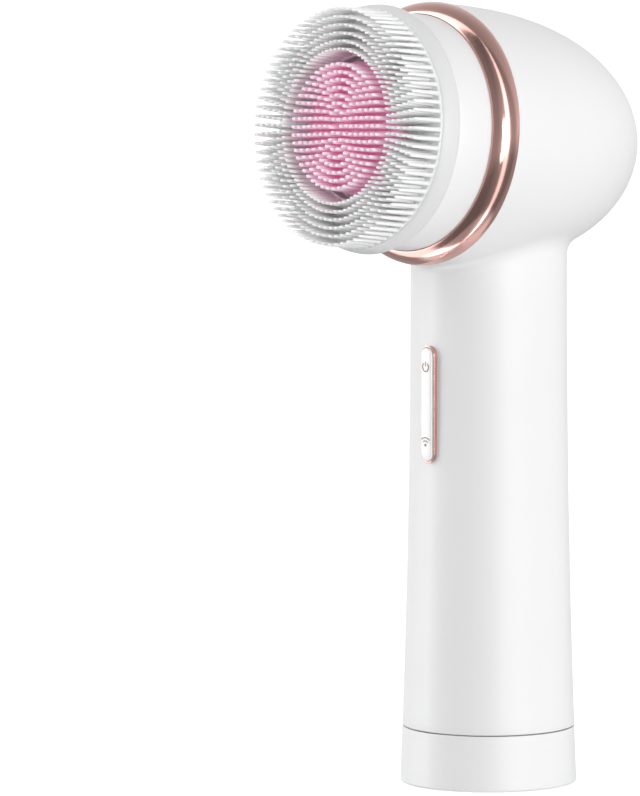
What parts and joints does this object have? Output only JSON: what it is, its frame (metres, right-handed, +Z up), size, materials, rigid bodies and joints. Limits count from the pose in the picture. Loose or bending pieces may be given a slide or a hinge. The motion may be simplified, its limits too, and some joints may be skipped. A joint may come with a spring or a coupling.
{
  "type": "facial cleansing brush",
  "caption": "Upright cleansing brush: round handle with rocker button, egg-shaped head, and a brush disc whose bristle ring and hub counter-rotate.",
  "frame": {"origin": "centre of the flat end that the handle stands on", "axes": "+Z up along the handle's axis, -Y towards the side with the button and the brush, +X to the object's left as it faces along -Y"},
  "size_m": [0.0634, 0.0948, 0.1914],
  "materials": {
    "casing": "satin gloss white",
    "head_plastic": "satin white",
    "button_face": "gloss white",
    "rose_gold": "polished rose-gold plating",
    "seal_rubber": "matt",
    "clear_silicone": "translucent",
    "white_silicone": "soft satin silicone",
    "pink_silicone": "soft satin silicone",
    "pink_plastic": "satin",
    "steel": "turned",
    "bronze": "sintered",
    "gear_plastic": "natural acetal",
    "frame_plastic": "moulded dark grey",
    "magnet": "sintered ferrite",
    "copper": "wound enamelled copper",
    "wire": "insulated",
    "board": "solder mask",
    "cell": "shrink sleeve"
  },
  "bodies": {
    "handle_and_head": {"main_shell": "casing", "base_cap": "casing", "base_seal": "seal_rubber", "trim_ring": "rose_gold", "front_collar": "casing", "collar_seal": "seal_rubber", "button_bezel": "rose_gold", "button_pin": "steel", "button_membrane": "clear_silicone", "tact_switches": "frame_plastic", "circuit_board": "board", "board_screws": "steel", "chassis": "frame_plastic", "battery": "cell", "charge_coil": "copper", "coil_shield": "magnet", "motor_can": "steel", "motor_magnets": "magnet", "motor_end_cap": "frame_plastic", "motor_screws": "steel", "motor_leads": "wire", "gearbox_case": "frame_plastic", "compound_pin": "steel", "idler_plate": "frame_plastic", "plate_screws": "steel", "idler_pins": "steel", "hub_bush": "bronze", "thrust_washer": "steel", "outer_bearing": "bronze", "shaft_seal": "seal_rubber"},
    "rocker": {"button_plate": "button_face"},
    "motor_spindle": {"motor_rotor": "steel", "motor_shaft": "steel", "motor_pinion": "gear_plastic"},
    "compound": {"compound_gear": "gear_plastic"},
    "idler_1": {"idler_gear_1": "gear_plastic"},
    "idler_2": {"idler_gear_2": "gear_plastic"},
    "idler_3": {"idler_gear_3": "gear_plastic"},
    "hub_drive": {"hub_shaft": "steel", "hub_gear": "gear_plastic", "sun_gear": "gear_plastic"},
    "outer_drive": {"outer_drive": "gear_plastic", "shaft_bushes": "bronze"},
    "outer_brush": {"outer_carrier": "head_plastic", "outer_bristles": "white_silicone"},
    "hub_brush": {"hub_carrier": "pink_plastic", "hub_bristles": "pink_silicone"}
  },
  "joints": [
    {"name": "outer_spin", "type": "hinge", "parent": "handle_and_head", "child": "outer_drive", "pos_m": [0, -0.02773, 0.1599], "axis": [0, -0.9903, 0.1392], "continuous": true},
    {"name": "hub_spin", "type": "hinge", "parent": "handle_and_head", "child": "hub_drive", "pos_m": [0, -0.02773, 0.1599], "axis": [0, -0.9903, 0.1392], "continuous": true},
    {"name": "idler_1_spin", "type": "hinge", "parent": "handle_and_head", "child": "idler_1", "pos_m": [0, -0.01638, 0.16663], "axis": [0, -0.9903, 0.1392], "continuous": true},
    {"name": "idler_2_spin", "type": "hinge", "parent": "handle_and_head", "child": "idler_2", "pos_m": [-0.00714, -0.0181, 0.15438], "axis": [0, -0.9903, 0.1392], "continuous": true},
    {"name": "idler_3_spin", "type": "hinge", "parent": "handle_and_head", "child": "idler_3", "pos_m": [0.00714, -0.0181, 0.15438], "axis": [0, -0.9903, 0.1392], "continuous": true},
    {"name": "compound_spin", "type": "hinge", "parent": "handle_and_head", "child": "compound", "pos_m": [0, -0.00724, 0.16914], "axis": [0, -0.9903, 0.1392], "continuous": true},
    {"name": "motor_spin", "type": "hinge", "parent": "handle_and_head", "child": "motor_spindle", "pos_m": [0, 0, 0.156], "axis": [0, -0.9903, 0.1392], "continuous": true},
    {"name": "outer_brush_pull", "type": "slide", "parent": "outer_drive", "child": "outer_brush", "axis": [0, -0.9903, 0.1392], "range_m": [0, 0.016]},
    {"name": "hub_brush_pull", "type": "slide", "parent": "hub_drive", "child": "hub_brush", "axis": [0, -0.9903, 0.1392], "range_m": [0, 0.016]},
    {"name": "button_rock", "type": "hinge", "parent": "handle_and_head", "child": "rocker", "pos_m": [0, -0.0182, 0.0932], "axis": [1, 0, 0], "range_deg": [-2, 2], "stiffness_Nm_per_rad": 0.12}
  ],
  "couplings": [
    {"joint": "hub_spin", "follows": "outer_spin", "ratio": -2.6667},
    {"joint": "idler_1_spin", "follows": "outer_spin", "ratio": 3.2},
    {"joint": "idler_2_spin", "follows": "outer_spin", "ratio": 3.2},
    {"joint": "idler_3_spin", "follows": "outer_spin", "ratio": 3.2},
    {"joint": "compound_spin", "follows": "outer_spin", "ratio": 8},
    {"joint": "motor_spin", "follows": "outer_spin", "ratio": -24},
    {"joint": "hub_brush_pull", "follows": "outer_brush_pull", "ratio": 1}
  ]
}
